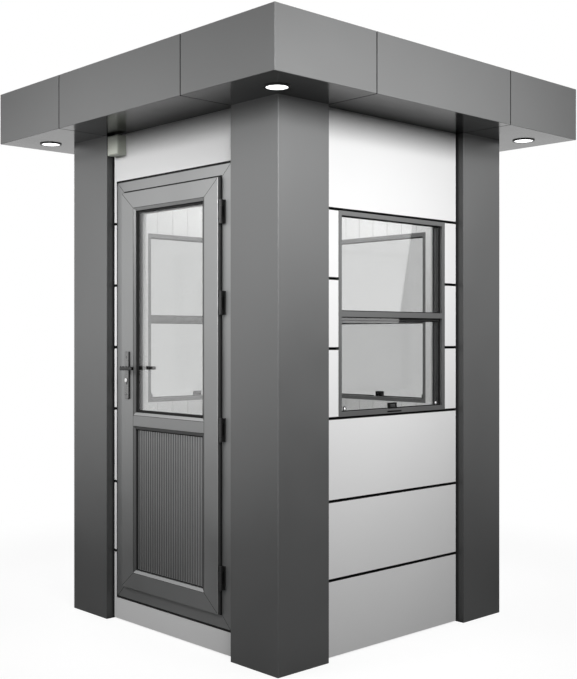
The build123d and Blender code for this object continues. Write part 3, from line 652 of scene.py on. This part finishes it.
def buildLatchSlide(tray, look):
    floor, up = tray["depth"] - tray["sunk"], tray["height"] / 2
    slide = startBlock((look["lift"] * 2, look["width"], look["height"]), (floor, 0, up), look["round"])
    pieces = [slide]
    for rib in range(look["ribs"]):
        place = (floor + look["lift"], (rib - (look["ribs"] - 1) / 2) * look["ribPitch"], up)
        pieces.append(startBlock((look["ribRise"] * 2, look["ribWidth"], look["ribHeight"]), place, look["ribRound"]))
    return joinPieces(pieces, "latch_slide")


def buildDrain(look):
    # cover with rounded ends, centred on z = 0
    return startBlock((look["depth"], look["width"], look["height"]), (look["depth"] / 2, 0, 0), look["round"], 3)


def buildLatches(trayValues, slideValues, drainValues):
    tray, slide, drain = buildLatchTray(trayValues), buildLatchSlide(trayValues, slideValues), buildDrain(drainValues)
    blackPieces, slides = [], []
    for quarter in windowWalls:
        turn = (0, 0, quarter)
        sill = onWall(quarter, trayValues["out"], trayValues["aside"], trayValues["up"])
        blackPieces.append(copyPiece(tray, sill, turn))
        blackPieces.append(copyPiece(drain, onWall(quarter, drainValues["out"], 0.0, drainValues["up"]), turn))
        slides.append(copyPiece(slide, sill, turn))
    dropSpares(tray, slide, drain)
    latches = finishPiece(blackPieces, "latch_trays", "trayCoat", "cabin")
    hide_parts("window_latches")
    finishPiece(slides, "latch_slides", "slideCoat", "cabin")


buildLatches(trayLook, slideLook, drainLook)
print("latches made")


# Cross-head screws that hold the handle plates
plateScrews = {"radius": 0.0042, "height": 0.0016, "dome": 0.4, "aside": -0.306, "ups": (1.265, 1.091),
               "outer": -0.7425, "inner": -0.6705, "slotLength": 0.0052, "slotWidth": 0.0011, "slotDepth": 0.0009,
               "sides": 20}


def onPlates(piece, look, ups):
    # copies that face out of the outer plate and the inner plate
    return [copyPiece(piece, (look["aside"], face, up), (tip, 0, 0))
            for face, tip in ((look["outer"], 90), (look["inner"], -90)) for up in ups]


def buildPlateScrews(look):
    screw = buildButton(look["radius"], look["height"], look["dome"], look["sides"])
    for turned in (0, 90):
        size = (look["slotLength"], look["slotWidth"], look["slotDepth"] * 2)
        cutOut(screw, startBlock(size, (0, 0, look["height"]), turn=(0, 0, math.radians(turned))))
    copies = onPlates(screw, look, look["ups"])
    dropSpares(screw)
    finishPiece(copies, "plate_screws", "satinSteel", "door")


buildPlateScrews(plateScrews)
print("plate screws made")


# Bright plug of the lock cylinder with its keyway, outside and inside
plugLook = {"radius": 0.0095, "height": 0.0016, "dome": 0.3, "sides": 32, "aside": -0.306, "up": 1.156,
            "outer": -0.7450, "inner": -0.6680, "keyHeight": 0.0080, "keyWidth": 0.0012, "keyDepth": 0.0008,
            "keyUp": 0.00176}


def buildPlugs(look):
    plug = buildButton(look["radius"], look["height"], look["dome"], look["sides"])
    cutOut(plug, startBlock((look["keyWidth"], look["keyHeight"], look["keyDepth"] * 2), (0, 0, look["keyUp"])))
    copies = onPlates(plug, look, (look["up"],))
    dropSpares(plug)
    finishPiece(copies, "lock_plugs", "brightGlintSteel", "door")


buildPlugs(plugLook)
print("lock plugs made")


# Painted highlight: a rounded strip in a lighter copy of the door coat on the hinge edge of the leaf, for the light
# its edge catches; and the lid of the pale box, painted lighter than the housing as if lit
leafHighlightStrip = {"size": (0.0040, 0.0016, 1.862), "middle": (0.3552, -0.7342, 1.109), "round": 0.0007}
boxLid = {"size": (0.078, 0.0034, 0.084), "middle": (-0.395, -0.7595, 2.275), "round": 0.0012, "rim": 0.006,
          "sunk": 0.0009, "frontArea": 0.001}


def buildLeafHighlightStrip(look):
    trim = startBlock(look["size"], look["middle"], look["round"], 3)
    finishPiece([trim], "leaf_edge_highlight", "edgeHighlightCoat", "door")


def buildBoxLid(look):
    lid = startBlock(look["size"], look["middle"], look["round"])
    sinkFront(lid, lambda face: face.normal.y < -frontFacing and face.area > look["frontArea"], look["rim"],
              (0, look["sunk"], 0))
    finishPiece([lid], "sensor_lid", "litPaleLid", "cabin")


buildLeafHighlightStrip(leafHighlightStrip)
buildBoxLid(boxLid)
print("leaf trim and box lid made")


# Rubber strips that close the upright joints of the canopy, just behind its face
canopySeams = {"size": (0.0028, 0.0058, 0.245), "out": 1.0124, "aside": 0.458, "up": 2.4545, "round": 0.0005}


def buildCanopySeams(look):
    strips = []
    for aside in (-look["aside"], look["aside"]):
        strip = startBlock(look["size"], (look["out"], aside, look["up"]), look["round"])
        strips += [strip] + [copyPiece(strip, (0, 0, 0), (0, 0, quarter)) for quarter in (90, 180, 270)]
    finishPiece(strips, "canopy_seams", "sealRubber", "cabin")


buildCanopySeams(canopySeams)
print("canopy seams made")


# Studio: pale floor, white air that only the camera, gloss and glass see, soft lamps all round and dark cards
studio = {"floorSize": 60.0, "floorGlow": 0.86, "floorTone": grey(0.20), "bounceTone": grey(0.10),
          "shadowFade": (1.2, 3.2), "mirrorFade": (3.6, 5.4), "mirrorTone": 0.02, "ambient": grey(0.10),
          "white": 1.0}


def seenDirectly(tree):
    # 1 for camera, glossy and transmission rays, 0 for the rest
    rays = addNode(tree, "LightPath")
    some = reckon(tree, "MAXIMUM", rays.outputs["Is Camera Ray"], rays.outputs["Is Glossy Ray"])
    return reckon(tree, "MAXIMUM", some, rays.outputs["Is Transmission Ray"])


def paintAir(look):
    air = bpy.data.worlds.new("studioAir")
    scene.world = air
    air.use_nodes = True
    tree = air.node_tree
    dim = tree.nodes["Background"]
    dim.inputs["Color"].default_value = (*look["ambient"], 1.0)
    bright = addNode(tree, "Background", {"Color": (*grey(1.0), 1.0), "Strength": look["white"]})
    both = addNode(tree, "MixShader", {0: seenDirectly(tree), 1: dim.outputs[0], 2: bright.outputs[0]})
    tree.links.new(both.outputs[0], tree.nodes["World Output"].inputs["Surface"])


def layFloor(look):
    bpy.ops.object.select_all(action="DESELECT")
    bpy.ops.mesh.primitive_plane_add(size=look["floorSize"], location=(0, 0, 0))
    floor = bpy.context.object
    floor.name = "studioFloor"
    finish, tree, shader = startFinish("studioFloor")
    tree.nodes.remove(shader)
    spot = addNode(tree, "TexCoord").outputs["Object"]
    away = addNode(tree, "VectorMath", {0: spot}, operation="LENGTH").outputs["Value"]
    far = ramp(tree, away, *look["shadowFade"])
    # gloss sees the floor near the cabin dimmer than the air behind it
    glossy = addNode(tree, "LightPath").outputs["Is Glossy Ray"]
    dimmed = reckon(tree, "MULTIPLY", glossy, ramp(tree, away, *look["mirrorFade"], 1.0 - look["mirrorTone"], 0.0))
    whiter = ramp(tree, away, *look["shadowFade"], look["floorGlow"], look["white"])
    strength = reckon(tree, "MULTIPLY", whiter, reckon(tree, "SUBTRACT", 1.0, dimmed))
    glow = addNode(tree, "Emission", {"Color": (*grey(1.0), 1.0), "Strength": strength})
    cloth = addNode(tree, "BsdfDiffuse", {"Color": blendTones(tree, far, look["floorTone"], grey(0.0))})
    shown = addNode(tree, "AddShader", {0: glow.outputs[0], 1: cloth.outputs[0]})
    bounce = addNode(tree, "BsdfDiffuse", {"Color": (*look["bounceTone"], 1.0)})
    both = addNode(tree, "MixShader", {0: seenDirectly(tree), 1: bounce.outputs[0], 2: shown.outputs[0]})
    tree.links.new(both.outputs[0], tree.nodes["Material Output"].inputs["Surface"])
    floor.data.materials.append(finish)


paintAir(studio)
layFloor(studio)
print("air and floor made")


# Dark cards that only gloss sees: they keep glare off the foot of the door and off the lower and far parts of the
# window. low and high are corners, (y, z); the near upper corner leans away by lean; the shaped card is then turned
# by turn, in degrees, and moved by shift
cards = {
    "lowCard": {"out": 3.4, "low": (0.9, 0.0), "high": (5.2, 1.4715), "lean": 0.0},
    "sideCard": {"out": 3.4, "low": (3.226, 1.4715), "high": (5.2, 3.2), "lean": 0.364},
    "doorCard": {"out": 0.0, "low": (-2.6, 0.0), "high": (2.6, 0.42), "lean": 0.0, "turn": 90.0,
                 "shift": (-3.4, -3.4, 0.0)},
}
cardTone = (0.02, 0.02, 0.02)
cardCorner = 0.01           # how near a vertex is to the corner it belongs to


def standCard(name, look):
    (nearEdge, bottom), (farEdge, top) = look["low"], look["high"]
    middle = (look["out"], (nearEdge + farEdge) / 2, (bottom + top) / 2)
    bpy.ops.object.select_all(action="DESELECT")
    bpy.ops.mesh.primitive_plane_add(size=1.0, location=middle, rotation=(0, math.pi / 2, 0))
    card = bpy.context.object
    card.name = name
    card.scale = (top - bottom, farEdge - nearEdge, 1.0)
    settle(card)
    for corner in card.data.vertices:
        corner.select = corner.co.z > bottom + cardCorner and corner.co.y < farEdge - cardCorner
    for side in list(card.data.edges) + list(card.data.polygons):
        side.select = False
    bpy.ops.object.mode_set(mode="EDIT")
    bpy.ops.mesh.select_mode(type="VERT")
    bpy.ops.transform.translate(value=(0, look["lean"], 0))
    bpy.ops.object.mode_set(mode="OBJECT")
    finish, tree, shader = startFinish(name)
    setSockets(tree, shader, {"Base Color": (*cardTone, 1.0), "Roughness": 1.0, "Specular IOR Level": 0.0})
    card.data.materials.append(finish)
    card.visible_camera = card.visible_diffuse = card.visible_shadow = card.visible_transmission = False
    card.rotation_euler = (0, 0, math.radians(look.get("turn", 0.0)))
    card.location = look.get("shift", (0.0, 0.0, 0.0))


for cardName, cardLook in cards.items():
    standCard(cardName, cardLook)
print("cards made")

# Lamps: power in watts, spread in degrees
lamps = {
    "doorLamp": {"place": (-0.6, -3.3, 2.75), "aim": (-0.2, -0.7, 1.3), "size": (1.6, 1.0), "power": 12.2,
                 "spread": 70.0},
    "cornerLamp": {"place": (3.1, -1.7, 2.8), "aim": (0.7, -0.4, 1.5), "size": (1.6, 1.0), "power": 14.6,
                   "spread": 80.0},
    "windowLamp": {"place": (3.2, 0.5, 2.8), "aim": (0.7, 0.1, 1.6), "size": (1.4, 1.0), "power": 10.0,
                   "spread": 80.0},
    "backLamp": {"place": (0.3, 3.4, 2.8), "aim": (0.0, 0.7, 1.4), "size": (1.6, 1.0), "power": 12.0,
                 "spread": 80.0},
    "leftLamp": {"place": (-3.4, 0.1, 2.8), "aim": (-0.7, 0.0, 1.4), "size": (1.6, 1.0), "power": 12.0,
                 "spread": 80.0},
    "roomLamp": {"place": (0.0, 0.0, 2.28), "aim": (0.0, 0.0, 0.0), "size": (0.9, 0.9), "power": 11.7,
                 "spread": 180.0},
}


def hangLamp(name, look):
    bpy.ops.object.light_add(type="AREA", location=look["place"])
    lamp = bpy.context.object
    lamp.name = name
    lamp.data.shape = "RECTANGLE"
    lamp.data.size, lamp.data.size_y = look["size"]
    lamp.data.energy = look["power"]
    lamp.data.spread = math.radians(look["spread"])
    x, y, z = (look["aim"][axis] - look["place"][axis] for axis in range(3))
    lamp.rotation_euler = (math.atan2(math.hypot(x, y), -z), 0.0, math.atan2(y, x) - math.pi / 2)
    lamp.visible_camera = False
    lamp.visible_transmission = False


for lampName, lampLook in lamps.items():
    hangLamp(lampName, lampLook)
print("studio lit")
